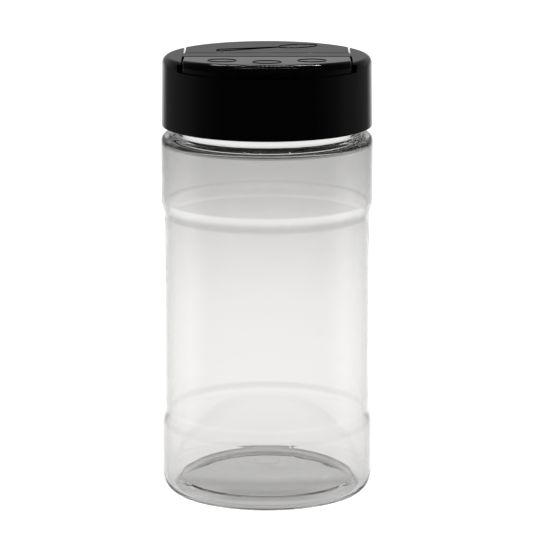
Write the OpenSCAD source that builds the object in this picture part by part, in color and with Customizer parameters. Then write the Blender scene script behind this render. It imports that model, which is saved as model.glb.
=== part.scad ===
// Clear spice jar with a black screw cap. The cap has one flap over three shaking
// holes and one flap over a spoon opening, each on a thin moulded hinge.
// Z is up and z = 0 is the face the jar stands on. The shaker flap faces -Y.

/* [Jar body] */
// How far the two plain bands stand out past the cap's lower edge
band_over = 0.15; // [0:0.05:3]
// How far the label panel lies behind the bands
panel_depth = 0.88; // [0:0.02:1.2]
// Thickness of the jar's side wall
jar_wall = 0.8; // [0.5:0.1:1.2]
// Height of the shoulder's flat top
shoulder_z = 101.2; // [80:0.1:140]
// Thickness of the jar's shoulder at its rounded edge
shoulder_wall = 1.3; // [0.8:0.1:2.4]
// Thickness of the shoulder at the neck
shoulder_neck_wall = 1.7; // [1:0.1:3]
// Radius that rounds the shoulder into the side
shoulder_round = 2; // [1.4:0.1:2]
// Radius of that corner inside the jar
shoulder_inner_round = 1.5; // [0.6:0.1:2.4]
// Rise of the shoulder from its rounded edge to the neck
shoulder_rise = 0.4; // [0:0.1:0.8]
// Middle of the step from the lower band to the label panel
lower_step_z = 20.8; // [10:0.1:30]
// Middle of the step from the label panel to the upper band
upper_step_z = 80.4; // [45:0.1:94]
// Height over which each step runs out
step_h = 4.6; // [1:0.1:8]

/* [Jar base] */
// Thickness of the jar's base
base_wall = 1.1; // [0.8:0.1:1.6]
// Width of the rounded heel, seen from below
heel_w = 2.5; // [1.6:0.1:4]
// Height of the rounded heel
heel_h = 4.6; // [2.5:0.1:7]
// Width of the flat ring the jar stands on
foot_w = 0.9; // [0.5:0.1:1.5]
// Width of the slope inside the standing ring
foot_slope_w = 2.6; // [1:0.1:4]
// Height where that slope meets the raised base
foot_slope_h = 2.15; // [1:0.05:4.5]
// Height of the raised base's middle
push_up_h = 5.6; // [4.8:0.1:8]
// How long the raised base stays flat towards its edge, as the power of its curve
push_up_curve = 4; // [2:0.5:6]
// Thickness of the raised base
push_up_wall = 1.5; // [1.1:0.1:2.4]
// Width of the gate mark under it
gate_d = 7; // [4:0.5:10]
// Depth of the gate mark
gate_h = 0.1; // [0.05:0.05:0.4]

/* [Neck and thread] */
// Outside diameter of the neck below its thread
neck_d = 50.3; // [46:0.1:56]
// Thickness of the neck's wall
neck_wall = 1.4; // [1:0.1:2]
// Height of the neck above the shoulder
neck_h = 16.7; // [14.5:0.1:24]
// Radius at the foot of the neck
neck_root_round = 0.4; // [0.3:0.1:1.2]
// Radius inside the foot of the neck
neck_inner_round = 1.4; // [1:0.1:2.4]
// How far the neck widens towards its foot
neck_flare = 0.3; // [0.1:0.05:0.5]
// Height at which it starts to widen
neck_flare_h = 3; // [2:0.1:4]
// Rise of the thread in one turn
thread_pitch = 4.23; // [3.9:0.01:5.2]
// Turns of thread on the neck
thread_turns = 1.25; // [1:0.05:1.5]
// How far the thread stands out of the neck
thread_depth = 1.1; // [0.8:0.05:1.3]
// Width of a thread at its foot
thread_foot_w = 2; // [1.6:0.1:2.2]
// Width of a thread at its crest
thread_crest_w = 0.9; // [0.6:0.1:1.2]
// Distance from the rim down to the upper end of the thread
thread_drop = 2.6; // [2:0.1:3.5]

/* [Cap] */
// Thickness of the skirt outside the thread's play
cap_wall = 2.6; // [1.8:0.05:3.5]
// How far the skirt leans in from its lower edge to its top
cap_draft = 0.25; // [0:0.05:0.5]
// Gap between the skirt's lower edge and the foot of the neck
skirt_lift = 2; // [1:0.05:4]
// Thickness of the deck that the holes go through
deck_t = 1.3; // [1:0.1:2]
// Height of the cap's top above the deck
crown_h = 2.7; // [2.6:0.1:4]
// Radius round the top's outer edge
crown_round = 2; // [0.5:0.1:2.2]
// Chamfer round the skirt's lower edge
skirt_chamfer = 0.4; // [0.1:0.1:0.6]
// Height of the wider mouth at the bottom of the skirt
relief_h = 1.6; // [0.5:0.1:3]
// Depth of that wider mouth
relief_depth = 1.1; // [0.3:0.1:1.2]
// Width of each fixed wing beside the flaps
wing_w = 5.8; // [4:0.05:8]
// Thickness of the sealing liner
liner_t = 0.9; // [0.5:0.1:1.5]

/* [Shaking side] */
// Diameter of each shaking hole
hole_d = 8; // [7.8:0.1:8.4]
// Distance from the liner's bore to the nearest edge of each shaking hole
hole_margin = 0.65; // [0.4:0.05:2]
// Angle from one shaking hole to the next
hole_step = 40; // [36:1:48]
// Number of shaking holes
hole_count = 3; // [1:2:3]

/* [Spoon side] */
// Distance from the liner's bore to the spoon opening's curved edge
spoon_margin = 2.25; // [0.5:0.05:4]
// Distance of the spoon opening's straight edge from the hinge
spoon_setback = 4; // [3.5:0.1:6]
// Radius at the two corners of the spoon opening
spoon_corner = 2.2; // [1.5:0.1:3]

/* [Flaps] */
// Width of the fixed bridge between the two hinges
bridge_w = 6.2; // [5:0.1:7]
// Width of each hinge's thin web
hinge_w = 1; // [0.8:0.1:1.4]
// Thickness of each hinge's thin web
hinge_t = 0.35; // [0.25:0.05:0.5]
// Depth of the groove above each hinge's web
hinge_groove = 0.05; // [0.05:0.05:0.3]
// Thickness of a flap's top
flap_t = 1.3; // [1:0.1:1.6]
// Thickness of a flap's curved front
flap_front_t = 1.7; // [1.4:0.1:2.2]
// Thickness of the ribs down a flap's other three sides
flap_rib_t = 1; // [0.8:0.1:1.4]
// How far the shaker flap's lip stands above the cap's top
shaker_lip_rise = 1.2; // [0:0.05:1.4]
// How far the spoon flap's lip stands above the cap's top
spoon_lip_rise = 0.15; // [0:0.05:1]
// Width of the finger notch under each lip
notch_w = 16.7; // [12:0.1:22]
// Height of the finger notch
notch_h = 1.25; // [0.8:0.05:1.4]
// Depth of the finger notch
notch_depth = 1; // [0.6:0.1:1]
// How far a plug reaches into the deck
plug_reach = 0.8; // [0.5:0.1:0.9]
// Thickness of a plug's wall
plug_wall = 0.7; // [0.5:0.05:0.8]
// Chamfer round a plug's lower edge
plug_chamfer = 0.2; // [0.1:0.05:0.3]
// Width of the opening in each wing beside a flap's front
window_w = 1.1; // [0.4:0.1:1.6]
// Height of that opening
window_h = 2; // [1:0.1:2.2]
// Depth of that opening
window_depth = 1.6; // [0.8:0.1:2.4]

/* [Marks on the flaps] */
// Diameter of the rings marked above the shaking holes
mark_d = 8.2; // [6:0.1:8.4]
// Distance of their middles from the cap's edge
mark_inset = 10; // [8:0.05:11]
// Angle from one of those rings to the next
mark_step = 40; // [36:0.5:42]
// Width of a marked line
mark_line_w = 0.3; // [0.2:0.05:0.5]
// How far a marked line stands out of a flap's top
mark_rise = 0.15; // [0.1:0.05:0.4]
// Length of the spoon marked on the spoon flap
mark_spoon_l = 30.5; // [24:0.5:31]
// Length of that spoon's bowl
mark_bowl_l = 12; // [8:0.5:13]
// Width of that spoon's bowl
mark_bowl_w = 6.4; // [5:0.1:8]
// Widest width of that spoon's handle
mark_handle_w = 3.4; // [2.5:0.1:4.5]
// Distance from the hinge to that spoon's middle
mark_spoon_setback = 9.8; // [8.5:0.1:12]
// Angle of that spoon to the hinge
mark_spoon_turn = 20.5; // [0:0.5:24]

/* [Clearances] */
// Gap between the crests of one thread and the wall facing them
thread_play = 0.45; // [0.3:0.05:0.6]
// Gap along the axis between the bearing sides of the two threads
thread_axial_play = 0.2; // [0.15:0.05:0.3]
// Gap between a flap and the wing beside it
flap_gap = 0.4; // [0.3:0.05:0.8]
// Gap between a closed flap and the deck
seam = 0.25; // [0.15:0.05:0.4]
// Gap round a plug in its hole
plug_gap = 0.25; // [0.22:0.01:0.4]
// Gap between the liner and the skirt, and between the liner's bore and the neck's
liner_gap = 0.5; // [0.3:0.05:0.8]

/* [Hidden] */
$fn = 96;

neck_r = neck_d / 2;
neck_z = shoulder_z + shoulder_rise;
rim_z = neck_z + neck_h;
rim_chamfer = 0.3;

bore_r = neck_r + thread_depth + thread_play;
cap_r = bore_r + cap_wall;
crown_r = cap_r - cap_draft;
jar_r = cap_r + band_over;
panel_r = jar_r - panel_depth;
cap_z = neck_z + skirt_lift;
deck_z = rim_z + liner_t;
deck_top = deck_z + deck_t;
cap_top = deck_top + crown_h;
liner_bore_r = neck_r - neck_wall - liner_gap;

slot_x = crown_r - wing_w;
flap_x = slot_x - flap_gap;
flap_y = bridge_w / 2 + hinge_w;
flap_foot = deck_top + seam;
hinge_top = cap_top - hinge_groove;

hole_ring_r = liner_bore_r - hole_margin - hole_d / 2;
middle_out = [for (i = [0 : hole_count - 1]) i - (hole_count - 1) / 2];
spoon_r = liner_bore_r - spoon_margin;
spoon_y = flap_y + spoon_setback;
plug_foot = deck_top - plug_reach;
mark_ring_r = crown_r - mark_inset;
mark_foot = cap_top - flap_t / 2;
mark_h = flap_t / 2 + mark_rise;

thread_sink = 0.3;
thread_steps_per_turn = 36;
thread_run_out = 4;
thread_start_z = rim_z - thread_drop - thread_turns * thread_pitch;
cap_thread_turns = 1;
cap_thread_angle = 60;
over = 1;

// Points of an arc of an ellipse, from angle a to angle b
function arc(x, z, rx, rz, a, b, steps = 8) =
    [for (i = [0 : steps]) let (t = a + (b - a) * i / steps) [x + rx * cos(t), z + rz * sin(t)]];

// Points of a smooth S from one radius to another, round the height z, or those of the
// face that lies a wall's thickness inside it
function ease(r_from, r_to, z, height, wall = 0, steps = 8) =
    [for (i = [0 : steps])
        let (t = i / steps, lean = atan((r_to - r_from) * PI / 2 * sin(180 * t) / height))
        [
            r_from + (r_to - r_from) * (1 - cos(180 * t)) / 2 - wall * cos(lean),
            z + (t - 0.5) * height + wall * sin(lean)
        ]];

// Points of the raised base from the axis out to its edge, or of the face that lies a
// wall's thickness above it; under it the gate mark stands out in the middle
function push_up(edge_r, edge_z, wall, steps = 14) =
    let (gate_r = gate_d / 2, drop = push_up_h - edge_z)
    concat(
        wall > 0
            ? [[0, push_up_h + wall]]
            : [[0, push_up_h - gate_h], [gate_r - gate_h, push_up_h - gate_h]],
        [for (i = [0 : steps])
            let (
                r = gate_r + (edge_r - gate_r) * i / steps,
                lean = atan(push_up_curve * drop / edge_r * pow(r / edge_r, push_up_curve - 1))
            )
            [r + wall * sin(lean), push_up_h - drop * pow(r / edge_r, push_up_curve) + wall * cos(lean)]]
    );

// Points of the arcs that round the inner corners of a line of [x, z, radius]
function rounded(line, steps = 6) =
    [for (i = [1 : len(line) - 2])
        let (
            here = [line[i][0], line[i][1]],
            back = [line[i - 1][0], line[i - 1][1]] - here,
            ahead = [line[i + 1][0], line[i + 1][1]] - here,
            a = back / norm(back),
            b = ahead / norm(ahead),
            half = acos(a * b) / 2,
            middle = here + (a + b) / norm(a + b) * line[i][2] / sin(half),
            first = here + a * line[i][2] / tan(half) - middle,
            sweep = sign(cross(b, a)) * (180 - 2 * half)
        )
        for (k = [0 : steps])
        let (t = sweep * k / steps)
        middle + [first[0] * cos(t) - first[1] * sin(t), first[0] * sin(t) + first[1] * cos(t)]];

function backwards(points) = [for (i = [len(points) - 1 : -1 : 0]) points[i]];

// One face of the jar's wall from the middle of its base up to the upper band: the
// outside where every wall is 0, and the inside where they are the wall's thicknesses
function jar_face(side = 0, base = 0, middle = 0) =
    let (heel_x = jar_r - heel_w, slope_x = heel_x - foot_w - foot_slope_w)
    concat(
        push_up(slope_x, foot_slope_h, middle),
        [[heel_x - foot_w, base]],
        arc(heel_x, heel_h, heel_w - side, heel_h - base, -90, 0),
        ease(jar_r, panel_r, lower_step_z, step_h, side),
        ease(panel_r, jar_r, upper_step_z, step_h, side)
    );

// A spiral thread that stands out of the radius r, or into it where out is -1, and
// that rises from start_z at start_angle
module thread(r, out, turns, start_z, start_angle) {
    steps = round(turns * thread_steps_per_turn);
    root_r = r - out * thread_sink;
    root_w = thread_foot_w / 2;
    crest_w = thread_crest_w / 2;
    points = [
        for (i = [0 : steps])
        let (
            a = start_angle + i * 360 / thread_steps_per_turn,
            z = start_z + i * thread_pitch / thread_steps_per_turn,
            full = min(1, (i + 1) / thread_run_out, (steps - i + 1) / thread_run_out),
            crest_r = r + out * thread_depth * full
        )
        for (p = [[root_r, -root_w], [crest_r, -crest_w], [crest_r, crest_w], [root_r, root_w]])
        [p[0] * cos(a), p[0] * sin(a), z + p[1]]
    ];
    sides = [
        for (i = [0 : steps - 1])
        for (k = [0 : 3])
        let (a = 4 * i + k, b = 4 * i + (k + 1) % 4)
        for (face = [[a, b, b + 4], [a, b + 4, a + 4]])
        face
    ];
    ends = [[3, 2, 1, 0], [for (k = [0 : 3]) 4 * steps + k]];
    faces = concat(sides, ends);
    polyhedron(points, out > 0 ? faces : [for (face = faces) backwards(face)]);
}

// The block that the wings, bridge and flaps are cut from, with its edge rounded
module crown() {
    rotate_extrude() polygon(concat(
        [[0, deck_top], [crown_r, deck_top]],
        arc(crown_r - crown_round, cap_top - crown_round, crown_round, crown_round, 0, 90),
        [[0, cap_top]]
    ));
}

// Outline of the spoon opening, drawn in by inset
function spoon_outline(inset) =
    let (
        y = spoon_y + spoon_corner,
        x = sqrt(pow(spoon_r - spoon_corner, 2) - y * y),
        turn = atan2(y, x),
        corner = spoon_corner - inset
    )
    concat(
        arc(0, 0, spoon_r - inset, spoon_r - inset, turn, 180 - turn, 24),
        arc(-x, y, corner, corner, 180 - turn, 270),
        arc(x, y, corner, corner, -90, turn)
    );

// Outline of the marked spoon, drawn in by inset, with its bowl towards +X
function mark_outline(inset) =
    let (
        end_r = mark_handle_w / 2,
        bowl_x = (mark_spoon_l - mark_bowl_l) / 2,
        end_x = end_r - mark_spoon_l / 2,
        waist = mark_line_w * 0.7,
        open = asin(waist / mark_bowl_w * 2)
    )
    concat(
        arc(bowl_x, 0, mark_bowl_l / 2 - inset, mark_bowl_w / 2 - inset, open - 180, 180 - open, 28),
        arc(end_x, 0, end_r - inset, end_r - inset, 90, 270, 12)
    );

// Tilts a flap's block about its hinge, so that its lip stands higher by rise
module lifted(rise) {
    translate([0, flap_y, cap_top])
        rotate([atan2(rise, crown_r - flap_y), 0, 0])
            translate([0, -flap_y, -cap_top])
                children();
}

// A flap's hollow shell towards +Y; the children stand on its top and tilt with it
module flap_shell(rise) {
    reach = crown_r + over;
    difference() {
        intersection() {
            lifted(rise) crown();
            translate([-flap_x, flap_y, flap_foot]) cube([2 * flap_x, reach, reach]);
        }
        intersection() {
            lifted(rise) translate([0, 0, deck_top - over])
                cylinder(h = crown_h - flap_t + over, r = crown_r - flap_front_t);
            translate([flap_rib_t - flap_x, flap_y + flap_rib_t, deck_top])
                cube([2 * (flap_x - flap_rib_t), reach, reach]);
        }
        difference() {
            translate([-notch_w / 2, flap_y, deck_top]) cube([notch_w, reach, seam + notch_h]);
            cylinder(h = 2 * cap_top, r = crown_r - notch_depth);
        }
    }
    lifted(rise) children();
}

// Height of the middle of a flap's top at the distance y from the cap's middle
function flap_middle(y, rise) = cap_top - flap_t / 2 + rise * (y - flap_y) / (crown_r - flap_y);

// A hinge's thin web, from the bridge to the flap at +Y
module hinge_web() {
    translate([-flap_x, bridge_w / 2, hinge_top - hinge_t]) cube([2 * flap_x, hinge_w, hinge_t]);
}

module jar() color([0.86, 0.9, 0.91, 0.4]) {
    inner_r = neck_r - neck_wall;
    outside = concat(
        jar_face(),
        rounded([
            [jar_r, upper_step_z],
            [jar_r, shoulder_z, shoulder_round],
            [neck_r + neck_flare, neck_z, neck_root_round],
            [neck_r, neck_z + neck_flare_h]
        ]),
        [[neck_r, neck_z + neck_flare_h], [neck_r, rim_z - rim_chamfer], [neck_r - rim_chamfer, rim_z]]
    );
    inside = concat(
        jar_face(jar_wall, base_wall, push_up_wall),
        rounded([
            [jar_r - jar_wall, upper_step_z],
            [jar_r - jar_wall, shoulder_z - shoulder_wall, shoulder_inner_round],
            [inner_r, neck_z - shoulder_neck_wall, neck_inner_round],
            [inner_r, rim_z]
        ]),
        [[inner_r, rim_z]]
    );
    rotate_extrude() polygon(concat(outside, backwards(inside)));
    thread(neck_r, 1, thread_turns, thread_start_z, 0);
}

module cap_liner() color("gainsboro") {
    translate([0, 0, rim_z]) difference() {
        cylinder(h = liner_t, r = bore_r - liner_gap);
        translate([0, 0, -over]) cylinder(h = liner_t + 2 * over, r = liner_bore_r);
    }
}

// The skirt and the deck in one turned shape
module skirt() {
    mouth_r = bore_r + relief_depth;
    rotate_extrude() polygon([
        [0, deck_z], [bore_r, deck_z],
        [bore_r, cap_z + relief_h + relief_depth], [mouth_r, cap_z + relief_h], [mouth_r, cap_z],
        [cap_r - skirt_chamfer, cap_z], [cap_r, cap_z + skirt_chamfer],
        [crown_r, deck_top], [0, deck_top]
    ]);
}

module cap_body() color([0.05, 0.05, 0.055]) {
    flank_sum = thread_foot_w - (thread_foot_w - thread_crest_w) / 2 * (1 + thread_play / thread_depth);
    thread_z = thread_start_z + thread_pitch * cap_thread_angle / 360 - flank_sum - thread_axial_play;
    wing_l = 2 * crown_r;
    difference() {
        union() {
            skirt();
            intersection() {
                crown();
                union() {
                    for (x = [slot_x, -slot_x - wing_l])
                        translate([x, -wing_l / 2, deck_z]) cube([wing_l, wing_l, wing_l]);
                    translate([-wing_l, -bridge_w / 2, deck_z]) cube([2 * wing_l, bridge_w, wing_l]);
                }
            }
        }
        for (i = middle_out)
            rotate(i * hole_step) translate([0, -hole_ring_r, deck_z - over])
                cylinder(h = deck_t + 2 * over, d = hole_d);
        translate([0, 0, deck_z - over])
            linear_extrude(deck_t + 2 * over) polygon(spoon_outline(0));
        for (side = [0, 1], end = [0, 1])
            mirror([side, 0, 0]) mirror([0, end, 0]) difference() {
                translate([slot_x - over, 0, deck_top])
                    cube([window_w + over, wing_l, window_h]);
                cylinder(h = 2 * cap_top, r = crown_r - window_depth);
            }
    }
    thread(bore_r, -1, cap_thread_turns, thread_z, cap_thread_angle);
}

module shaker_flap() color([0.06, 0.06, 0.065]) mirror([0, 1, 0]) {
    plug_r = hole_d / 2 - plug_gap;
    flap_shell(shaker_lip_rise)
        for (i = middle_out)
            rotate(i * mark_step) translate([0, mark_ring_r, mark_foot]) difference() {
                cylinder(h = mark_h, d = mark_d);
                translate([0, 0, -over])
                    cylinder(h = mark_h + 2 * over, d = mark_d - 2 * mark_line_w);
            }
    for (i = middle_out) {
        y = hole_ring_r * cos(i * hole_step);
        plug_h = flap_middle(y, shaker_lip_rise) - plug_foot;
        rotate(i * hole_step) translate([0, hole_ring_r, plug_foot]) difference() {
            union() {
                cylinder(h = plug_chamfer, r1 = plug_r - plug_chamfer, r2 = plug_r);
                translate([0, 0, plug_chamfer]) cylinder(h = plug_h - plug_chamfer, r = plug_r);
            }
            translate([0, 0, -over]) cylinder(h = plug_h + over, r = plug_r - plug_wall);
        }
    }
}

module spoon_flap() color([0.06, 0.06, 0.065]) {
    flap_shell(spoon_lip_rise)
        translate([0, flap_y + mark_spoon_setback, mark_foot]) rotate(mark_spoon_turn)
            difference() {
                linear_extrude(mark_h) polygon(mark_outline(0));
                translate([0, 0, -over])
                    linear_extrude(mark_h + 2 * over) polygon(mark_outline(mark_line_w));
            }
    translate([0, 0, plug_foot]) difference() {
        linear_extrude(flap_middle(spoon_y, spoon_lip_rise) - plug_foot)
            polygon(spoon_outline(plug_gap));
        translate([0, 0, -over]) linear_extrude(crown_h + 2 * over)
            polygon(spoon_outline(plug_gap + plug_wall));
    }
}

module shaker_hinge() color([0.07, 0.07, 0.075]) mirror([0, 1, 0]) hinge_web();

module spoon_hinge() color([0.07, 0.07, 0.075]) hinge_web();

jar();
cap_liner();
cap_body();
shaker_flap();
spoon_flap();
shaker_hinge();
spoon_hinge();
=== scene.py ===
"""Looks of a clear spice jar with a black two-flap cap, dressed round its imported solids.

Metres, z up, and the shaking flap faces -y. Each piece is drawn as a line, turned or
extruded, cut and rounded with Blender's own tools, and then takes its node's place.
"""

import math
from contextlib import contextmanager

import bmesh
import bpy
from mathutils import Matrix, Vector


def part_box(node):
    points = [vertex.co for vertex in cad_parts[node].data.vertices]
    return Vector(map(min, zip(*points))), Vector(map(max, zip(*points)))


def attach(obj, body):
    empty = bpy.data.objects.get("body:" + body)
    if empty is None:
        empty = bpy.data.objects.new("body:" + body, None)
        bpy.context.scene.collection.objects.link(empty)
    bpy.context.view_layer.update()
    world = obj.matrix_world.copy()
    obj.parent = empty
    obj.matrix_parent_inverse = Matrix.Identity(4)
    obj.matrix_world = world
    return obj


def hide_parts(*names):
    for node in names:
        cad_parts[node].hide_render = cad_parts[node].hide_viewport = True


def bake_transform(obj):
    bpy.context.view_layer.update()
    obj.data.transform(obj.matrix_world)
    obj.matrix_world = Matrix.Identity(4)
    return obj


MM = 0.001

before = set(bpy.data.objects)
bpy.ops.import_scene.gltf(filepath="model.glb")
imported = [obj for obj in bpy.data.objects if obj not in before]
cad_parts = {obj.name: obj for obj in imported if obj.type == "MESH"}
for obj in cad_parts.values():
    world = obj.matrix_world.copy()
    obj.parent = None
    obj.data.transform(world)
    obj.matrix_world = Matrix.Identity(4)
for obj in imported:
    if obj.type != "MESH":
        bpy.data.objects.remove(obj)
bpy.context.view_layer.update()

# ---------------------------------------------------------------- sizes from the frame
jar_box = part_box("jar")
cap_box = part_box("cap_body")
liner_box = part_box("cap_liner")
web_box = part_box("spoon_hinge")
spoon_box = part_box("spoon_flap")

JAR_R = jar_box[1].x
RIM_Z = jar_box[1].z
CAP_Z = cap_box[0].z
CAP_R = cap_box[1].x
CAP_TOP = cap_box[1].z
LINER_R = liner_box[1].x
DECK_Z = liner_box[1].z
BRIDGE_Y = web_box[0].y
FLAP_Y = web_box[1].y
WEB_BOTTOM = web_box[0].z
WEB_TOP = web_box[1].z
FLAP_X = spoon_box[1].x
PLUG_FOOT = spoon_box[0].z

# ---------------------------------------------------------------- sizes of the jar
PANEL_R = JAR_R - 0.88 * MM
WALL = 0.8 * MM
BASE_WALL = 1.1 * MM
NECK_WALL = 1.4 * MM
HEEL_W = 2.5 * MM
HEEL_H = 4.6 * MM
FOOT_W = 0.9 * MM
FOOT_ROUND = 0.3 * MM
FOOT_SLOPE_W = 2.6 * MM
FOOT_SLOPE_H = 2.15 * MM
FOOT_CORNER = 0.6 * MM
FOOT_CORNER_POINTS = 4
PUSH_UP_H = 5.6 * MM
PUSH_UP_CURVE = 4
PUSH_UP_WALL = 1.5 * MM
GATE_R = 3.5 * MM
GATE_H = 0.1 * MM
LOWER_STEP_Z = 20.8 * MM
UPPER_STEP_Z = 80.4 * MM
STEP_H = 4.6 * MM
SHOULDER_Z = 101.2 * MM
SHOULDER_ROUND = 2.0 * MM
SHOULDER_WALL = 1.3 * MM
SHOULDER_NECK_WALL = 1.7 * MM
SHOULDER_INNER_ROUND = 1.5 * MM
NECK_R = 25.15 * MM
NECK_Z = 101.6 * MM
NECK_ROOT_ROUND = 0.4 * MM
NECK_INNER_ROUND = 1.4 * MM
NECK_FLARE = 0.3 * MM
NECK_FLARE_H = 3.0 * MM
RIM_ROUND = 0.3 * MM

SEAM_ANGLE = math.radians(13.125)
SEAM_W = 0.6 * MM
SEAM_RISE = 0.04 * MM
SEAM_TOP = RIM_Z - 14 * MM

THREAD_PITCH = 4.23 * MM
THREAD_DEPTH = 1.1 * MM
THREAD_FOOT_W = 2.0 * MM
THREAD_CREST_W = 0.9 * MM
THREAD_ROUND = 0.2 * MM
THREAD_SINK = 0.3 * MM
THREAD_STEPS = 72
THREAD_RUN_OUT = 8
JAR_THREAD_TURNS = 1.25
JAR_THREAD_TOP = RIM_Z - 2.6 * MM
JAR_THREAD_Z = JAR_THREAD_TOP - JAR_THREAD_TURNS * THREAD_PITCH

# ---------------------------------------------------------------- sizes of the cap
BORE_R = 26.7 * MM
MOUTH_R = 27.8 * MM
MOUTH_H = 1.6 * MM
CROWN_R = 29.05 * MM
CROWN_ROUND = 2.0 * MM
SKIRT_ROUND = 0.4 * MM
DECK_TOP = DECK_Z + 1.3 * MM
SLOT_X = FLAP_X + 0.4 * MM
CAP_THREAD_TURNS = 1.0
CAP_THREAD_ANGLE = math.radians(60)
CAP_THREAD_Z = 109.69 * MM
LINER_BORE_R = 23.25 * MM

HOLE_R = 4.0 * MM
HOLE_RING_R = 18.6 * MM
HOLE_STEP = math.radians(40)
SPOON_R = 21.0 * MM
SPOON_Y = FLAP_Y + 4.0 * MM
SPOON_CORNER = 2.2 * MM

FLAP_FOOT = DECK_TOP + 0.25 * MM
FLAP_T = 1.3 * MM
FLAP_FRONT_T = 1.7 * MM
FLAP_RIB_T = 1.0 * MM
SHAKER_RISE = 1.2 * MM
SPOON_RISE = 0.15 * MM
NOTCH_W = 16.7 * MM
NOTCH_TOP = DECK_TOP + 1.5 * MM
NOTCH_DEPTH = 1.0 * MM
PLUG_GAP = 0.25 * MM
PLUG_WALL = 0.7 * MM
PLUG_ROOT = 0.5 * MM
PLUG_STEPS = 64
WINDOW_W = 1.1 * MM
WINDOW_H = 2.0 * MM
WINDOW_DEPTH = 1.6 * MM

MARK_R = 4.1 * MM
MARK_LINE = 0.3 * MM
MARK_WAIST = 1.4 * MARK_LINE
MARK_RISE = 0.15 * MM
MARK_RING_R = 19.05 * MM
MARK_STEP = math.radians(40)
MARK_SPOON_L = 30.5 * MM
MARK_BOWL_L = 12.0 * MM
MARK_BOWL_W = 6.4 * MM
MARK_HANDLE_W = 3.4 * MM
MARK_SPOON_Y = FLAP_Y + 9.8 * MM
MARK_SPOON_TURN = math.radians(20.5)

EDGE_ROUND = 0.2 * MM
CRISP_WEIGHT = 0.25
CRISP_NEAR = 0.15 * MM
TURN_STEPS = 192
WEB_PARTS = 10
OVER = 1.0 * MM
SAME_PLACE = 1e-6
NEARLY_STRAIGHT = math.radians(89.5)

SHAKER_SIDE = -1
SPOON_SIDE = 1

# ---------------------------------------------------------------- sizes of the stage
# The camera's tilt is in radians below level, and its lens and sensor are in millimetres.
CAMERA_PLACE = (0, -0.8286, 0.2402)
CAMERA_TILT = 0.2105
CAMERA_LENS = 203.6
CAMERA_SENSOR = 36
CAMERA_SHIFT_X = -0.00088
CAMERA_SHIFT_Y = 0.0005

# The studio's tones, as (direction, tone). The direction is its y or z, from -1 to 1.
GLOSS_BELOW_BY_Y = [
    (-1, 0.004),
    (-0.6, 0.008),
    (-0.17, 0.06),
    (0.09, 0.11),
    (0.78, 0.12),
    (0.87, 0.38),
    (0.94, 0.85),
    (1, 1.0),
]
GLOSS_ABOVE_BY_Z = [
    (0, 0.3),
    (0.05, 0.33),
    (0.075, 0.32),
    (0.1, 0.3),
    (0.125, 0.28),
    (0.145, 0.29),
    (0.2, 0.31),
    (0.4, 0.18),
    (0.7, 0.08),
    (1, 0.05),
]
GLASS_BY_Z = [
    (-1, 0.8),
    (-0.6, 0.85),
    (-0.35, 0.9),
    (-0.3, 0.9),
    (-0.265, 0.92),
    (-0.245, 1.04),
    (-0.22, 1.0),
    (-0.207, 0.93),
    (-0.194, 0.8),
    (-0.186, 0.71),
    (-0.17, 0.6),
    (-0.12, 0.36),
    (-0.02, 0.34),
    (0.04, 0.47),
    (0.12, 0.62),
    (0.2, 0.48),
    (0.3, 0.18),
    (0.6, 0.07),
]
# How far one tone gives way to the next, as (direction, share).
GLOSS_BEHIND_BY_Y = [(0, 0.0), (0.5, 0.25), (0.95, 1.0)]
GLASS_BEHIND_BY_Y = [(-0.3, 0.0), (0.2, 1.0)]
GLOSS_UP_BY_Z = [(-0.08, 0.0), (0.05, 1.0)]
GLASS_DOWN_BY_Z = [(-0.35, 1.0), (-0.15, 0.0)]
STUDIO_DARK = 0.01

FLOOR_R = 6
FLOOR_COLOR = (0.8, 0.8, 0.8, 1)
FLOOR_GLOW = 0.4

SHADE_R = 34 * MM
SHADE_SQUEEZE = 0.75
SHADE_Z = -0.2 * MM
SHADE_FRONT = -0.03
SHADE_BACK = 0.034
SHADE_MIDDLE_X = 0.010
SHADE_SIDES_X = 0.018
# The shade's tones along the middle and along the sides, as (y, tone) from front to back.
SHADE_MIDDLE = [
    (-0.03, 0.47),
    (-0.025, 0.49),
    (-0.021, 0.56),
    (-0.0185, 0.63),
    (-0.0155, 0.6),
    (-0.0135, 0.5),
    (-0.0109, 0.42),
    (-0.007, 0.43),
    (-0.004, 0.5),
    (0.0019, 0.49),
    (0.0098, 0.7),
    (0.0177, 0.79),
    (0.0252, 0.8),
    (0.034, 0.95),
]
SHADE_SIDES = [
    (-0.03, 0.5),
    (-0.02, 0.6),
    (-0.0135, 0.64),
    (-0.007, 0.6),
    (-0.002, 0.54),
    (0.0019, 0.49),
    (0.0098, 0.7),
    (0.0177, 0.79),
    (0.0252, 0.8),
    (0.034, 0.95),
]

# The rows of small lamps, as (lamps, half the row's width, y, height, power in its middle).
GLINT_ROWS = ((33, 0.525, 0.69, 1.32, 0.13), (19, 0.63, -0.54, 1.35, 0.055))
GLINT_W = 0.004
GLINT_L = 0.12
GLINT_END_GAIN = 1.5

# ---------------------------------------------------------------- sizes of the finishes
# Most of what a noise texture gives lies between these.
NOISE_LOW = 0.35
NOISE_HIGH = 0.65


# ---------------------------------------------------------------- hand tools
def activate(piece):
    """Makes a piece the only one selected, and the active one."""
    bpy.ops.object.select_all(action="DESELECT")
    piece.select_set(True)
    bpy.context.view_layer.objects.active = piece


@contextmanager
def editing(piece):
    """Edit mode on one piece, with all of it selected."""
    activate(piece)
    bpy.ops.object.mode_set(mode="EDIT")
    bpy.ops.mesh.select_mode(type="VERT")
    bpy.ops.mesh.select_all(action="SELECT")
    yield
    bpy.ops.object.mode_set(mode="OBJECT")


def apply_modifier(piece, kind, **settings):
    """Adds a modifier with these settings and applies it."""
    modifier = piece.modifiers.new(kind.lower(), kind)
    for key, value in settings.items():
        setattr(modifier, key, value)
    activate(piece)
    bpy.ops.object.modifier_apply(modifier=modifier.name)


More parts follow.
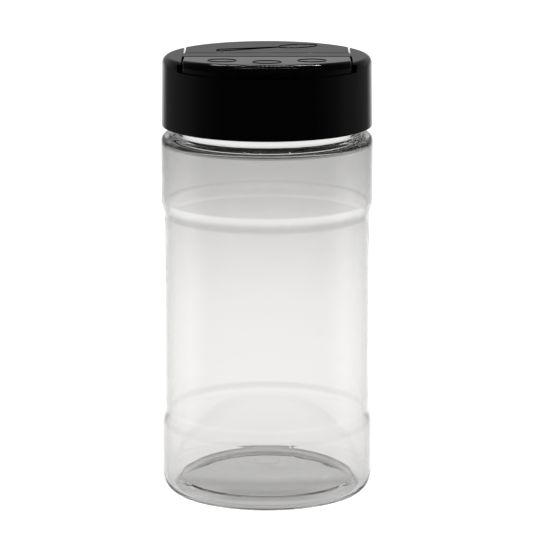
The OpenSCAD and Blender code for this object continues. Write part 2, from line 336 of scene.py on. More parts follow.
def combine(piece, other, operation="DIFFERENCE"):
    """Cuts other from piece, keeps what they share or makes them one. Other is used up."""
    apply_modifier(piece, "BOOLEAN", operation=operation, object=other, solver="EXACT")
    bpy.data.objects.remove(other)


def clean(piece):
    """Merges the doubles and turns every face outwards."""
    with editing(piece):
        bpy.ops.mesh.remove_doubles(threshold=SAME_PLACE)
        bpy.ops.mesh.normals_make_consistent(inside=False)


def round_edges(piece, radius=EDGE_ROUND, angle=40, segments=3):
    """Rounds each edge sharper than the angle in degrees, those at a hinge or the deck less."""
    mesh = bmesh.new()
    mesh.from_mesh(piece.data)
    weights = mesh.edges.layers.float.new("bevel_weight_edge")
    for edge in mesh.edges:
        if len(edge.link_faces) == 2 and edge.calc_face_angle() > math.radians(angle):
            middle = (edge.verts[0].co + edge.verts[1].co) / 2
            from_hinge = min(abs(abs(middle.y) - BRIDGE_Y), abs(abs(middle.y) - FLAP_Y))
            at_hinge = from_hinge < CRISP_NEAR and middle.z > CAP_TOP - CRISP_NEAR
            outside = middle.xy.length > CROWN_R - CRISP_NEAR
            at_deck = abs(middle.z - DECK_TOP) < CRISP_NEAR and outside
            edge[weights] = CRISP_WEIGHT if at_hinge or at_deck else 1
    mesh.to_mesh(piece.data)
    mesh.free()
    apply_modifier(
        piece,
        "BEVEL",
        width=radius,
        segments=segments,
        limit_method="WEIGHT",
        use_clamp_overlap=False,
        miter_outer="MITER_ARC",
    )


def smooth(piece, angle=30):
    """Shades a piece smooth, up to edges sharper than the angle in degrees."""
    activate(piece)
    bpy.ops.object.shade_smooth_by_angle(angle=math.radians(angle))


def level(piece):
    """Lets each flat face keep its own even shade beside its rounded edges."""
    apply_modifier(piece, "WEIGHTED_NORMAL", weight=100, keep_sharp=True)


def trace(name, path):
    """A line along a path, as one vertex extruded from point to point. Edit mode stays on."""
    bpy.ops.object.select_all(action="DESELECT")
    bpy.ops.mesh.primitive_circle_add(vertices=3, radius=MM)
    line = bpy.context.object
    line.name = line.data.name = name
    bpy.ops.object.mode_set(mode="EDIT")
    bpy.ops.mesh.merge(type="CENTER")
    bpy.ops.transform.translate(value=path[0])
    for here, there in zip(path, path[1:]):
        bpy.ops.mesh.extrude_vertices_move(TRANSFORM_OT_translate={"value": there - here})
    return line


def draw(name, points):
    """A line through points of the plane y = 0, given as (x, z)."""
    line = trace(name, [Vector((point[0], 0, point[1])) for point in points])
    bpy.ops.object.mode_set(mode="OBJECT")
    return line


def turned(name, points, capped=True):
    """The line turned all the way round the z axis, with its open rims closed if it is capped."""
    piece = draw(name, points)
    with editing(piece):
        bpy.ops.mesh.spin(steps=TURN_STEPS, angle=math.tau, center=(0, 0, 0), axis=(0, 0, 1))
        bpy.ops.mesh.select_all(action="SELECT")
        bpy.ops.mesh.remove_doubles(threshold=SAME_PLACE)
        if capped:
            bpy.ops.mesh.fill_holes(sides=0)
        bpy.ops.mesh.select_all(action="SELECT")
        bpy.ops.mesh.normals_make_consistent(inside=False)
    return piece


def block(name, low, high):
    """A box from its lowest corner to its highest."""
    low, high = Vector(low), Vector(high)
    bpy.ops.object.select_all(action="DESELECT")
    bpy.ops.mesh.primitive_cube_add(size=1)
    piece = bpy.context.object
    piece.name = piece.data.name = name
    with editing(piece):
        bpy.ops.transform.resize(value=high - low, center_override=(0, 0, 0))
        bpy.ops.transform.translate(value=(low + high) / 2)
    return piece


def post(name, x, y, z_low, z_high, radius, vertices=96):
    """An upright round bar."""
    bpy.ops.object.select_all(action="DESELECT")
    bpy.ops.mesh.primitive_cylinder_add(vertices=vertices, radius=radius, depth=z_high - z_low)
    piece = bpy.context.object
    piece.name = piece.data.name = name
    with editing(piece):
        bpy.ops.transform.translate(value=(x, y, (z_low + z_high) / 2))
    return piece


def prism(name, outline, z_low, z_high):
    """An upright bar whose outline is points (x, y)."""
    piece = trace(name, [Vector((x, y, z_low)) for x, y in outline])
    bpy.ops.mesh.select_all(action="SELECT")
    bpy.ops.mesh.edge_face_add()
    bpy.ops.mesh.extrude_region_move(TRANSFORM_OT_translate={"value": (0, 0, z_high - z_low)})
    bpy.ops.mesh.select_all(action="SELECT")
    bpy.ops.mesh.normals_make_consistent(inside=False)
    bpy.ops.object.mode_set(mode="OBJECT")
    return piece


# ---------------------------------------------------------------- outlines
def arc(x, z, reach_x, reach_z, start, end, steps=8):
    """Points of an arc of an ellipse, from start to end in degrees."""
    angles = [math.radians(start + (end - start) * i / steps) for i in range(steps + 1)]
    return [(x + reach_x * math.cos(a), z + reach_z * math.sin(a)) for a in angles]


def ease(r_from, r_to, z, height, wall=0.0, steps=12):
    """Points of a smooth S between two radii, round the height z and a wall's thickness inside."""
    points = []
    for i in range(steps + 1):
        t = i / steps
        lean = math.atan((r_to - r_from) * math.pi / 2 * math.sin(math.pi * t) / height)
        r = r_from + (r_to - r_from) * (1 - math.cos(math.pi * t)) / 2
        points.append((r - wall * math.cos(lean), z + (t - 0.5) * height + wall * math.sin(lean)))
    return points


def push_up(edge_r, edge_z, wall=0.0, steps=28):
    """Points of the raised base from the axis to its edge, or of the face a wall above it."""
    drop = PUSH_UP_H - edge_z
    if wall:
        points = [(0, PUSH_UP_H + wall)]
    else:
        points = [(0, PUSH_UP_H - GATE_H), (GATE_R - GATE_H, PUSH_UP_H - GATE_H)]
    for i in range(steps + 1):
        r = GATE_R + (edge_r - GATE_R) * i / steps
        lean = math.atan(PUSH_UP_CURVE * drop / edge_r * (r / edge_r) ** (PUSH_UP_CURVE - 1))
        z = PUSH_UP_H - drop * (r / edge_r) ** PUSH_UP_CURVE
        points.append((r + wall * math.sin(lean), z + wall * math.cos(lean)))
    return points


def soften(corners, steps=4):
    """Points of a line through corners (x, z, radius), each rounded to its radius."""
    points = [corners[0][:2]]
    for before, (x, z, radius), after in zip(corners, corners[1:], corners[2:]):
        here = Vector((x, z))
        back = (Vector(before[:2]) - here).normalized()
        ahead = (Vector(after[:2]) - here).normalized()
        half = back.angle(ahead) / 2
        if radius == 0 or half > NEARLY_STRAIGHT:
            points.append((x, z))
            continue
        centre = here + (back + ahead).normalized() * radius / math.sin(half)
        first = here + back * radius / math.tan(half) - centre
        last = here + ahead * radius / math.tan(half) - centre
        sweep = first.angle_signed(last)
        for i in range(steps + 1):
            points.append(tuple(centre + Matrix.Rotation(-sweep * i / steps, 2) @ first))
    return points + [corners[-1][:2]]


# ---------------------------------------------------------------- the jar
def jar_face(side=0.0, base=0.0, middle=0.0):
    """One face of the jar's wall, from the middle of the base up to the upper band.

    It lies inside the outer face by a thickness for the side, the base and its raised middle.
    The foot's rounded corner takes the place of the raised base's last few points.
    """
    heel_x = JAR_R - HEEL_W
    bell = push_up(heel_x - FOOT_W - FOOT_SLOPE_W, FOOT_SLOPE_H, middle)
    foot = soften(
        [
            (*bell[-FOOT_CORNER_POINTS], 0),
            (*bell[-1], FOOT_CORNER),
            (heel_x - FOOT_W, base, FOOT_ROUND),
            (heel_x, base, 0),
        ],
        steps=5,
    )
    return (
        bell[:-FOOT_CORNER_POINTS]
        + foot[:-1]
        + arc(heel_x, HEEL_H, HEEL_W - side, HEEL_H - base, -90, 0, steps=12)
        + ease(JAR_R, PANEL_R, LOWER_STEP_Z, STEP_H, side)
        + ease(PANEL_R, JAR_R, UPPER_STEP_Z, STEP_H, side)
    )


def spiral(name, radius, out, turns, start_z, start_angle):
    """A screw thread that stands out of the radius, or into it where out is -1."""
    root = radius - out * THREAD_SINK
    crest = radius + out * THREAD_DEPTH
    section = soften(
        [
            (root, start_z - THREAD_FOOT_W / 2, 0),
            (crest, start_z - THREAD_CREST_W / 2, THREAD_ROUND),
            (crest, start_z + THREAD_CREST_W / 2, THREAD_ROUND),
            (root, start_z + THREAD_FOOT_W / 2, 0),
        ],
        steps=3,
    )
    count = len(section)
    steps = round(turns * THREAD_STEPS)
    ridge = draw(name, section)
    with editing(ridge):
        bpy.ops.mesh.edge_face_add()
        bpy.ops.mesh.delete(type="ONLY_FACE")
    apply_modifier(
        ridge,
        "SCREW",
        angle=math.tau * turns,
        screw_offset=THREAD_PITCH * turns,
        steps=steps,
        render_steps=steps,
        use_smooth_shade=False,
    )
    for vertex in ridge.data.vertices:
        step = vertex.index // count
        full = min(1, (step + 1) / THREAD_RUN_OUT, (steps - step + 1) / THREAD_RUN_OUT)
        r = vertex.co.xy.length
        if (r - radius) * out > 0:
            vertex.co.xy *= (radius + (r - radius) * full) / r
    with editing(ridge):
        bpy.ops.mesh.fill_holes(sides=0)
        bpy.ops.mesh.select_all(action="SELECT")
        bpy.ops.mesh.normals_make_consistent(inside=False)
    ridge.data.transform(Matrix.Rotation(start_angle, 4, "Z"))
    return ridge


def seam(jar):
    """Raises the thin line that the mould's two halves leave on both sides of the jar."""
    along = Vector((math.sin(SEAM_ANGLE), -math.cos(SEAM_ANGLE), 0))
    across = Vector((math.cos(SEAM_ANGLE), math.sin(SEAM_ANGLE), 0))
    with editing(jar):
        for side in (-1, 1):
            bpy.ops.mesh.select_all(action="SELECT")
            bpy.ops.mesh.bisect(plane_co=across * side * SEAM_W / 2, plane_no=across)
        bpy.ops.mesh.select_all(action="SELECT")
    normals = [vertex.normal.copy() for vertex in jar.data.vertices]
    for vertex, normal in zip(jar.data.vertices, normals):
        out = Vector((*vertex.co.xy, 0)).normalized()
        faces_out = normal.dot(out) > 0.3 and vertex.co.z < SEAM_TOP
        on_shoulder = normal.z > 0.5 and vertex.co.z < NECK_Z + MM
        on_line = abs(vertex.co.dot(across)) < SAME_PLACE and abs(vertex.co.dot(along)) > NECK_R
        if on_line and (faces_out or on_shoulder):
            vertex.co += normal * SEAM_RISE


def make_jar():
    """The clear jar: its wall turned as one line, outside and inside, with seam and thread."""
    outside = jar_face() + soften(
        [
            (JAR_R, UPPER_STEP_Z, 0),
            (JAR_R, SHOULDER_Z, SHOULDER_ROUND),
            (NECK_R + NECK_FLARE, NECK_Z, NECK_ROOT_ROUND),
            (NECK_R, NECK_Z + NECK_FLARE_H, 0),
        ],
        steps=10,
    )[1:]
    outside += arc(NECK_R - RIM_ROUND, RIM_Z - RIM_ROUND, RIM_ROUND, RIM_ROUND, 0, 90, steps=3)
    inner_r = NECK_R - NECK_WALL
    inside = jar_face(WALL, BASE_WALL, PUSH_UP_WALL) + soften(
        [
            (JAR_R - WALL, UPPER_STEP_Z, 0),
            (JAR_R - WALL, SHOULDER_Z - SHOULDER_WALL, SHOULDER_INNER_ROUND),
            (inner_r, NECK_Z - SHOULDER_NECK_WALL, NECK_INNER_ROUND),
            (inner_r, RIM_Z, 0),
        ],
        steps=10,
    )[1:-1]
    inside += arc(inner_r + RIM_ROUND, RIM_Z - RIM_ROUND, RIM_ROUND, RIM_ROUND, 180, 90, steps=3)
    jar = turned("jar_shell", outside + inside[::-1])
    seam(jar)
    combine(jar, spiral("jar_thread", NECK_R, 1, JAR_THREAD_TURNS, JAR_THREAD_Z, 0), "UNION")
    clean(jar)
    smooth(jar)
    return jar


# ---------------------------------------------------------------- the cap
def spoon_outline(inset=0.0):
    """Outline of the spoon opening, drawn in by inset."""
    y = SPOON_Y + SPOON_CORNER
    x = math.sqrt((SPOON_R - SPOON_CORNER) ** 2 - y**2)
    turn = math.degrees(math.atan2(y, x))
    corner = SPOON_CORNER - inset
    return (
        arc(0, 0, SPOON_R - inset, SPOON_R - inset, turn, 180 - turn, steps=32)
        + arc(-x, y, corner, corner, 180 - turn, 270, steps=8)[1:]
        + arc(x, y, corner, corner, -90, turn, steps=8)[:-1]
    )


def crown():
    """Points of the cap's rounded upper edge, from its side to its top."""
    return arc(
        CROWN_R - CROWN_ROUND, CAP_TOP - CROWN_ROUND, CROWN_ROUND, CROWN_ROUND, 0, 90, steps=10
    )


def three_around(radius, step):
    """Three places round the front of a circle, a step apart, as (x, y)."""
    return [
        (radius * math.sin(place * step), SHAKER_SIDE * radius * math.cos(place * step))
        for place in (-1, 0, 1)
    ]


def core(radius):
    """A bar up the axis through the whole cap, round which only an outer shell is cut."""
    return post("core", 0, 0, 0, 2 * CAP_TOP, radius, TURN_STEPS)


def make_cap():
    """The cap's body: bays for both flaps, windows at the wings, holes through the deck, thread."""
    cap = turned(
        "cap_shell",
        soften(
            [
                (BORE_R - OVER, DECK_Z, 0),
                (BORE_R, DECK_Z, EDGE_ROUND),
                (BORE_R, CAP_Z + MOUTH_H + MOUTH_R - BORE_R, EDGE_ROUND),
                (MOUTH_R, CAP_Z + MOUTH_H, EDGE_ROUND),
                (MOUTH_R, CAP_Z, EDGE_ROUND),
                (CAP_R, CAP_Z, SKIRT_ROUND),
                (CROWN_R, DECK_TOP, 0),
                (CROWN_R, CAP_TOP - CROWN_ROUND, 0),
            ]
        )
        + crown()[1:],
    )
    reach = CROWN_R + OVER
    for side in (SHAKER_SIDE, SPOON_SIDE):
        near, far = sorted((side * BRIDGE_Y, side * reach))
        combine(cap, block("bay", (-SLOT_X, near, DECK_TOP), (SLOT_X, far, CAP_TOP + OVER)))
        for wing in (-1, 1):
            left, right = sorted((wing * (SLOT_X - OVER), wing * (SLOT_X + WINDOW_W)))
            window = block("window", (left, near, DECK_TOP), (right, far, DECK_TOP + WINDOW_H))
            combine(window, core(CROWN_R - WINDOW_DEPTH))
            combine(cap, window)
    for x, y in three_around(HOLE_RING_R, HOLE_STEP):
        combine(cap, post("hole", x, y, DECK_Z - OVER, DECK_TOP + OVER, HOLE_R))
    combine(cap, prism("spoon_hole", spoon_outline(), DECK_Z - OVER, DECK_TOP + OVER))
    round_edges(cap)
    thread = spiral("cap_thread", BORE_R, -1, CAP_THREAD_TURNS, CAP_THREAD_Z, CAP_THREAD_ANGLE)
    combine(cap, thread, "UNION")
    clean(cap)
    smooth(cap)
    level(cap)
    return cap


def tilted(piece, side, rise):
    """Tilts a flap's block about its hinge side, so that its lip stands higher by rise."""
    angle = side * math.atan2(rise, CROWN_R - FLAP_Y)
    hinge = Vector((0, side * FLAP_Y, CAP_TOP))
    piece.data.transform(
        Matrix.Translation(hinge) @ Matrix.Rotation(angle, 4, "X") @ Matrix.Translation(-hinge)
    )
    return piece


def flap_shell(name, side, rise):
    """A flap's hollow shell with its finger notch."""
    reach = CROWN_R + 2 * OVER
    shell = tilted(turned(name, [(CROWN_R, DECK_TOP - OVER)] + crown()), side, rise)
    near, far = sorted((side * FLAP_Y, side * reach))
    trim = block("trim", (-FLAP_X, near, FLAP_FOOT), (FLAP_X, far, CAP_TOP + reach))
    combine(shell, trim, "INTERSECT")
    hollow = tilted(
        turned(
            "hollow",
            soften(
                [
                    (CROWN_R - FLAP_FRONT_T, DECK_TOP - OVER, 0),
                    (CROWN_R - FLAP_FRONT_T, CAP_TOP - FLAP_T, 3 * EDGE_ROUND),
                    (CROWN_R / 2, CAP_TOP - FLAP_T, 0),
                ]
            ),
        ),
        side,
        rise,
    )
    rib_near, rib_far = sorted((side * (FLAP_Y + FLAP_RIB_T), side * reach))
    rib_x = FLAP_X - FLAP_RIB_T
    ribs = block("ribs", (-rib_x, rib_near, DECK_TOP - 2 * OVER), (rib_x, rib_far, CAP_TOP + OVER))
    combine(hollow, ribs, "INTERSECT")
    combine(shell, hollow)
    notch = block("notch", (-NOTCH_W / 2, near, DECK_TOP), (NOTCH_W / 2, far, NOTCH_TOP))
    combine(notch, core(CROWN_R - NOTCH_DEPTH))
    combine(shell, notch)
    round_edges(shell)
    return shell


def flap_middle(y, rise):
    """Height of the middle of a flap's top at the distance y from the cap's middle."""
    return CAP_TOP - FLAP_T / 2 + rise * (y - FLAP_Y) / (CROWN_R - FLAP_Y)


def flap_top(y, rise):
    """Height of a flap's top at the distance y from the cap's middle."""
    return flap_middle(y, rise) + FLAP_T / 2


def make_shaker_lid():
    """The front flap, with a plug for each shaking hole and a raised ring over it."""
    lid = flap_shell("shaker_lid", SHAKER_SIDE, SHAKER_RISE)
    plug_r = HOLE_R - PLUG_GAP
    bore_r = plug_r - PLUG_WALL
    for x, y in three_around(HOLE_RING_R, HOLE_STEP):
        top = flap_middle(-y, SHAKER_RISE)
        plug = post("plug", x, y, PLUG_FOOT, top, plug_r, PLUG_STEPS)
        combine(plug, post("bore", x, y, PLUG_FOOT - OVER, top - PLUG_ROOT, bore_r, PLUG_STEPS))
        round_edges(plug)
        combine(lid, plug, "UNION")
    slope = SHAKER_SIDE * math.atan2(SHAKER_RISE, CROWN_R - FLAP_Y)
    for x, y in three_around(MARK_RING_R, MARK_STEP):
        bpy.ops.object.select_all(action="DESELECT")
        bpy.ops.mesh.primitive_torus_add(
            major_radius=MARK_R - MARK_LINE / 2,
            minor_radius=MARK_LINE / 2,
            major_segments=96,
            minor_segments=12,
        )
        ring = bpy.context.object
        z = flap_top(-y, SHAKER_RISE) + MARK_RISE - MARK_LINE / 2
        ring.data.transform(Matrix.Translation((x, y, z)) @ Matrix.Rotation(slope, 4, "X"))
        combine(lid, ring, "UNION")
    clean(lid)
    smooth(lid)
    level(lid)
    return lid


def mark_outline():
    """Outline of the marked spoon, with its bowl towards +x."""
    end_r = MARK_HANDLE_W / 2
    bowl_x = (MARK_SPOON_L - MARK_BOWL_L) / 2
    end_x = end_r - MARK_SPOON_L / 2
    opening = math.degrees(math.asin(MARK_WAIST / MARK_BOWL_W))
    inset = MARK_LINE / 2
    reach_x, reach_y = MARK_BOWL_L / 2 - inset, MARK_BOWL_W / 2 - inset
    bowl = arc(bowl_x, 0, reach_x, reach_y, opening - 180, 180 - opening, steps=40)
    return bowl + arc(end_x, 0, end_r - inset, end_r - inset, 90, 270, steps=16)


def spoon_mark():
    """The raised line round the marked spoon, as a closed wire."""
    outline = mark_outline()
    wire = draw("spoon_mark", outline + outline[:1])
    clean(wire)
    bpy.ops.object.convert(target="CURVE")
    wire = bpy.context.object
    wire.data.bevel_depth = MARK_LINE / 2
    wire.data.bevel_resolution = 3
    bpy.ops.object.convert(target="MESH")
    wire = bpy.context.object
    flat = Matrix.Rotation(-math.pi / 2, 4, "X")
    slope = math.atan2(SPOON_RISE, CROWN_R - FLAP_Y)
    z = flap_top(MARK_SPOON_Y, SPOON_RISE) + MARK_RISE - MARK_LINE / 2
    wire.data.transform(
        Matrix.Translation((0, MARK_SPOON_Y, z))
        @ Matrix.Rotation(slope, 4, "X")
        @ Matrix.Rotation(MARK_SPOON_TURN, 4, "Z")
        @ flat
    )
    clean(wire)
    return wire


def make_spoon_lid():
    """The back flap, with the spoon opening's plug and the raised spoon."""
    lid = flap_shell("spoon_lid", SPOON_SIDE, SPOON_RISE)
    top = flap_middle(SPOON_Y, SPOON_RISE)
    plug = prism("plug", spoon_outline(PLUG_GAP), PLUG_FOOT, top)
    bore = prism("bore", spoon_outline(PLUG_GAP + PLUG_WALL), PLUG_FOOT - OVER, top - PLUG_ROOT)
    combine(plug, bore)
    round_edges(plug)
    combine(lid, plug, "UNION")
    combine(lid, spoon_mark(), "UNION")
    clean(lid)
    smooth(lid)
    level(lid)
    return lid


def make_web(name, side):
    """A hinge's thin web, with loops across it."""
    web = block(name, (-FLAP_X, BRIDGE_Y, WEB_BOTTOM), (FLAP_X, FLAP_Y, WEB_TOP))
    with editing(web):
        for i in range(1, WEB_PARTS):
            y = BRIDGE_Y + (FLAP_Y - BRIDGE_Y) * i / WEB_PARTS
            bpy.ops.mesh.select_all(action="SELECT")
            bpy.ops.mesh.bisect(plane_co=(0, y, 0), plane_no=(0, 1, 0))
        bpy.ops.mesh.select_all(action="SELECT")
    if side == SHAKER_SIDE:
        web.data.transform(Matrix.Scale(-1, 4, (0, 1, 0)))
        clean(web)
    smooth(web)
    return web


def make_liner():
    """The sealing ring between the jar's rim and the cap's deck."""
    low, high = liner_box[0].z, liner_box[1].z
    ring = turned(
        "sealing_ring",
        soften(
            [
                (LINER_BORE_R, (low + high) / 2, 0),
                (LINER_BORE_R, high, EDGE_ROUND),
                (LINER_R, high, EDGE_ROUND),
                (LINER_R, low, EDGE_ROUND),
                (LINER_BORE_R, low, EDGE_ROUND),
                (LINER_BORE_R, (low + high) / 2, 0),
            ],
            steps=3,
        ),
        capped=False,
    )
    smooth(ring)
    return ring


# ---------------------------------------------------------------- finishes
def skin_group():
    """Uneven gloss and a fine moulded surface, for any of the plastics."""
    group = bpy.data.node_groups.new("moulded_skin", "ShaderNodeTree")
    for name in ("Patch Scale", "Low Roughness", "High Roughness", "Grain Scale", "Grain Depth"):
        group.interface.new_socket(name=name, in_out="INPUT", socket_type="NodeSocketFloat")
    group.interface.new_socket(name="Roughness", in_out="OUTPUT", socket_type="NodeSocketFloat")
    group.interface.new_socket(name="Normal", in_out="OUTPUT", socket_type="NodeSocketVector")
    nodes, links = group.nodes, group.links
    inputs = nodes.new("NodeGroupInput")
    outputs = nodes.new("NodeGroupOutput")
    place = nodes.new("ShaderNodeTexCoord")
    patches = nodes.new("ShaderNodeTexNoise")
    patches.inputs["Detail"].default_value = 3
    grain = nodes.new("ShaderNodeTexNoise")
    grain.inputs["Detail"].default_value = 2
    spread = nodes.new("ShaderNodeMapRange")
    spread.inputs["From Min"].default_value = NOISE_LOW
    spread.inputs["From Max"].default_value = NOISE_HIGH
    bump = nodes.new("ShaderNodeBump")
    bump.inputs["Strength"].default_value = 1
    links.new(place.outputs["Object"], patches.inputs["Vector"])
    links.new(place.outputs["Object"], grain.inputs["Vector"])
    links.new(inputs.outputs["Patch Scale"], patches.inputs["Scale"])
    links.new(inputs.outputs["Grain Scale"], grain.inputs["Scale"])
    links.new(patches.outputs["Fac"], spread.inputs["Value"])
    links.new(inputs.outputs["Low Roughness"], spread.inputs["To Min"])
    links.new(inputs.outputs["High Roughness"], spread.inputs["To Max"])
    links.new(grain.outputs["Fac"], bump.inputs["Height"])
    links.new(inputs.outputs["Grain Depth"], bump.inputs["Distance"])
    links.new(spread.outputs["Result"], outputs.inputs["Roughness"])
    links.new(bump.outputs["Normal"], outputs.inputs["Normal"])
    return group


def plastic(name, color, ior, skin, values, transmission=0.0):
    """A plastic whose gloss and surface come from the moulded skin with these values."""
    material = bpy.data.materials.new(name)
    material.use_nodes = True
    nodes, links = material.node_tree.nodes, material.node_tree.links
    shader = nodes["Principled BSDF"]
    shader.inputs["Base Color"].default_value = (*color, 1)
    shader.inputs["IOR"].default_value = ior
    shader.inputs["Transmission Weight"].default_value = transmission
    surface = nodes.new("ShaderNodeGroup")
    surface.node_tree = skin
    for key, value in values.items():
        surface.inputs[key].default_value = value
    links.new(surface.outputs["Roughness"], shader.inputs["Roughness"])
    links.new(surface.outputs["Normal"], shader.inputs["Normal"])
    return material


def finish(piece, body, nodes, material):
    """Puts the material on a piece, hangs it on its body and lets it stand for its nodes."""
    piece.data.materials.clear()
    piece.data.materials.append(material)
    if body:
        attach(piece, body)
    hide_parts(*nodes)


# ---------------------------------------------------------------- the stage
def ramp(tree, source, stops, low=-1, high=1):
    """Tones that follow the source from low to high, through stops (value, tone)."""
    span = tree.nodes.new("ShaderNodeMapRange")
    span.inputs["From Min"].default_value = low
    span.inputs["From Max"].default_value = high
    tree.links.new(source, span.inputs["Value"])
    colors = tree.nodes.new("ShaderNodeValToRGB")
    tree.links.new(span.outputs[0], colors.inputs[0])
    elements = colors.color_ramp.elements
    while len(elements) < len(stops):
        elements.new(0.5)
    for element, (value, tone) in zip(elements, stops):
        element.position = (value - low) / (high - low)
        element.color = (tone, tone, tone, 1)
    return colors.outputs["Color"]


def mix(tree, factor, first, second):
    """Goes from the first to the second as the factor rises. Each is a tone or a socket."""
    blend = tree.nodes.new("ShaderNodeMix")
    blend.data_type = "RGBA"
    tree.links.new(factor, blend.inputs["Factor"])
    for socket, value in ((blend.inputs[6], first), (blend.inputs[7], second)):
        if isinstance(value, float):
            socket.default_value = (value, value, value, 1)
        else:
            tree.links.new(value, socket)
    return blend.outputs[2]


def disc(name, radius, z=0):
    """A flat round sheet that belongs to the stage."""
    bpy.ops.object.select_all(action="DESELECT")
    bpy.ops.mesh.primitive_circle_add(
        vertices=96, radius=radius, fill_type="NGON", location=(0, 0, z)
    )
    sheet = bpy.context.object
    sheet.name = name
    return sheet


def empty_material(name):
    """A material without any nodes."""
    material = bpy.data.materials.new(name)
    material.use_nodes = True
    material.node_tree.nodes.clear()
    return material


def make_camera():
    """The camera, in front of the jar and looking down at it."""
    data = bpy.data.cameras.new("camera")
    data.lens = CAMERA_LENS
    data.sensor_width = CAMERA_SENSOR
    data.shift_x = CAMERA_SHIFT_X
    data.shift_y = CAMERA_SHIFT_Y
    camera = bpy.data.objects.new("camera", data)
    camera.location = CAMERA_PLACE
    camera.rotation_euler = (math.pi / 2 - CAMERA_TILT, 0, 0)
    bpy.context.scene.collection.objects.link(camera)
    bpy.context.scene.camera = camera


def make_world():
    """White to the camera, a soft white dome as light, and a studio that gloss and glass see."""
    world = bpy.data.worlds.new("studio")
    bpy.context.scene.world = world
    world.use_nodes = True
    tree = world.node_tree
    nodes, links = tree.nodes, tree.links
    nodes.clear()
    output = nodes.new("ShaderNodeOutputWorld")
    background = nodes.new("ShaderNodeBackground")
    links.new(background.outputs[0], output.inputs[0])
    path = nodes.new("ShaderNodeLightPath")
    place = nodes.new("ShaderNodeTexCoord")
    split = nodes.new("ShaderNodeSeparateXYZ")
    links.new(place.outputs["Generated"], split.inputs[0])
    y, z = split.outputs["Y"], split.outputs["Z"]

    above = ramp(tree, z, GLOSS_ABOVE_BY_Z)
    above = mix(tree, ramp(tree, y, GLOSS_BEHIND_BY_Y), STUDIO_DARK, above)
    below = ramp(tree, y, GLOSS_BELOW_BY_Y)
    seen_in_gloss = mix(tree, ramp(tree, z, GLOSS_UP_BY_Z), below, above)

    lit = ramp(tree, z, GLASS_BY_Z)
    lit_behind = mix(tree, ramp(tree, y, GLASS_BEHIND_BY_Y), STUDIO_DARK, lit)
    seen_in_glass = mix(tree, ramp(tree, z, GLASS_DOWN_BY_Z), lit_behind, lit)

    color = mix(tree, path.outputs["Is Glossy Ray"], 1.0, seen_in_gloss)
    color = mix(tree, path.outputs["Is Transmission Ray"], color, seen_in_glass)
    color = mix(tree, path.outputs["Is Camera Ray"], color, 1.0)
    links.new(color, background.inputs["Color"])


def make_floor():
    """A white floor that gloss and glass look past, into the studio."""
    floor = disc("floor", FLOOR_R)
    floor.visible_glossy = False
    floor.visible_transmission = False
    material = empty_material("floor_white")
    nodes, links = material.node_tree.nodes, material.node_tree.links
    output = nodes.new("ShaderNodeOutputMaterial")
    diffuse = nodes.new("ShaderNodeBsdfDiffuse")
    diffuse.inputs["Color"].default_value = FLOOR_COLOR
    glow = nodes.new("ShaderNodeEmission")
    path = nodes.new("ShaderNodeLightPath")
    strength = nodes.new("ShaderNodeMath")
    strength.operation = "MULTIPLY"
    strength.inputs[1].default_value = FLOOR_GLOW
    both = nodes.new("ShaderNodeAddShader")
    links.new(path.outputs["Is Camera Ray"], strength.inputs[0])
    links.new(strength.outputs[0], glow.inputs["Strength"])
    links.new(diffuse.outputs[0], both.inputs[0])
    links.new(glow.outputs[0], both.inputs[1])
    links.new(both.outputs[0], output.inputs["Surface"])
    floor.data.materials.append(material)


def make_jar_shade():
    """The shade under the jar, that only glass shows."""
    shade = disc("jar_shade", SHADE_R, SHADE_Z)
    with editing(shade):
        bpy.ops.transform.resize(value=(SHADE_SQUEEZE, 1, 1), center_override=(0, 0, SHADE_Z))
    shade.visible_camera = False
    shade.visible_glossy = False
    shade.visible_diffuse = False
    shade.visible_shadow = False
    material = empty_material("jar_shade")
    tree = material.node_tree
    nodes, links = tree.nodes, tree.links
    output = nodes.new("ShaderNodeOutputMaterial")
    glow = nodes.new("ShaderNodeEmission")
    place = nodes.new("ShaderNodeTexCoord")
    split = nodes.new("ShaderNodeSeparateXYZ")
    links.new(place.outputs["Object"], split.inputs[0])
    middle = ramp(tree, split.outputs["Y"], SHADE_MIDDLE, SHADE_FRONT, SHADE_BACK)
    sides = ramp(tree, split.outputs["Y"], SHADE_SIDES, SHADE_FRONT, SHADE_BACK)
    aside = nodes.new("ShaderNodeMath")
    aside.operation = "ABSOLUTE"
    links.new(split.outputs["X"], aside.inputs[0])
    reach = nodes.new("ShaderNodeMapRange")
    reach.inputs["From Min"].default_value = SHADE_MIDDLE_X
    reach.inputs["From Max"].default_value = SHADE_SIDES_X
    links.new(aside.outputs[0], reach.inputs["Value"])
    links.new(mix(tree, reach.outputs[0], middle, sides), glow.inputs["Color"])
    links.new(glow.outputs[0], output.inputs["Surface"])
    shade.data.materials.append(material)


def make_glints():
    """A row of narrow lamps high behind the jar and one in front, that only gloss shows."""
    for count, reach, y, height, power in GLINT_ROWS:
        for i in range(count):
            across = 2 * i / (count - 1) - 1
            data = bpy.data.lights.new("glint", "AREA")
            data.shape = "RECTANGLE"
            data.size = GLINT_W
            data.size_y = GLINT_L
            data.energy = power * (1 + GLINT_END_GAIN * across**4)
            lamp = bpy.data.objects.new("glint", data)
            place = Vector((reach * across, y, height))
            back = place.normalized()
            side = back.cross(Vector((1, 0, 0))).normalized()
            turn = Matrix((side.cross(back), side, back)).transposed().to_4x4()
            lamp.matrix_world = Matrix.Translation(place) @ turn
            lamp.visible_camera = False
            lamp.visible_diffuse = False
            lamp.visible_transmission = False
            bpy.context.scene.collection.objects.link(lamp)


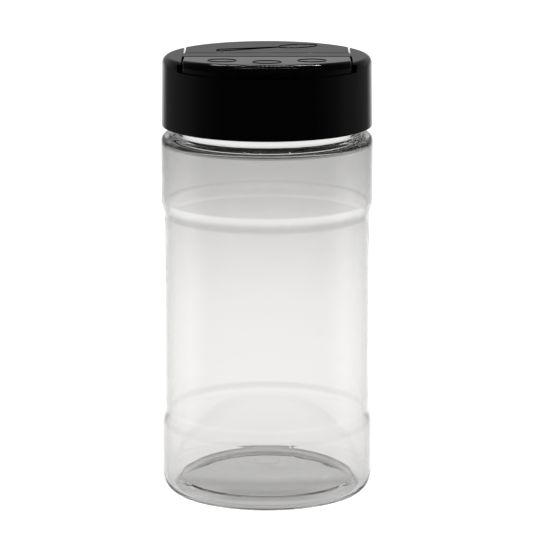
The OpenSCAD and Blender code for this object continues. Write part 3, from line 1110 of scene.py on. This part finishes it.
# ---------------------------------------------------------------- the scene
bpy.context.scene.view_settings.view_transform = "Standard"
make_camera()
make_world()
make_floor()
make_jar_shade()
make_glints()
bpy.context.scene.cycles.max_bounces = 32
bpy.context.scene.cycles.glossy_bounces = 24
bpy.context.scene.cycles.transmission_bounces = 32

# ---------------------------------------------------------------- the pieces
jar = make_jar()
cap = make_cap()
shaker_lid = make_shaker_lid()
spoon_lid = make_spoon_lid()
shaker_web = make_web("shaker_web", SHAKER_SIDE)
spoon_web = make_web("spoon_web", SPOON_SIDE)
liner = make_liner()

# ---------------------------------------------------------------- the materials
skin = skin_group()
clear_pet = plastic(
    "clear_pet",
    color=(0.978, 0.974, 0.966),
    ior=1.575,
    skin=skin,
    values={
        "Patch Scale": 60,
        "Low Roughness": 0.0,
        "High Roughness": 0.03,
        "Grain Scale": 90,
        "Grain Depth": 0.00004,
    },
    transmission=1.0,
)
black_pp = plastic(
    "black_pp",
    color=(0.001, 0.001, 0.00105),
    ior=1.49,
    skin=skin,
    values={
        "Patch Scale": 250,
        "Low Roughness": 0.01,
        "High Roughness": 0.04,
        "Grain Scale": 3000,
        "Grain Depth": 0.0000005,
    },
)
liner_foam = plastic(
    "liner_foam",
    color=(0.82, 0.82, 0.8),
    ior=1.5,
    skin=skin,
    values={
        "Patch Scale": 600,
        "Low Roughness": 0.6,
        "High Roughness": 0.8,
        "Grain Scale": 4000,
        "Grain Depth": 0.00003,
    },
)

# ---------------------------------------------------------------- what they ride on
finish(jar, "jar", ["jar"], clear_pet)
finish(cap, "cap", ["cap_body"], black_pp)
finish(shaker_lid, "shaker_flap", ["shaker_flap"], black_pp)
finish(spoon_lid, "spoon_flap", ["spoon_flap"], black_pp)
finish(liner, "liner", ["cap_liner"], liner_foam)
for web, node, body, side in (
    (shaker_web, "shaker_hinge", "shaker_flap", SHAKER_SIDE),
    (spoon_web, "spoon_hinge", "spoon_flap", SPOON_SIDE),
):
    finish(web, None, [node], black_pp)
    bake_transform(web)
jar.visible_shadow = False
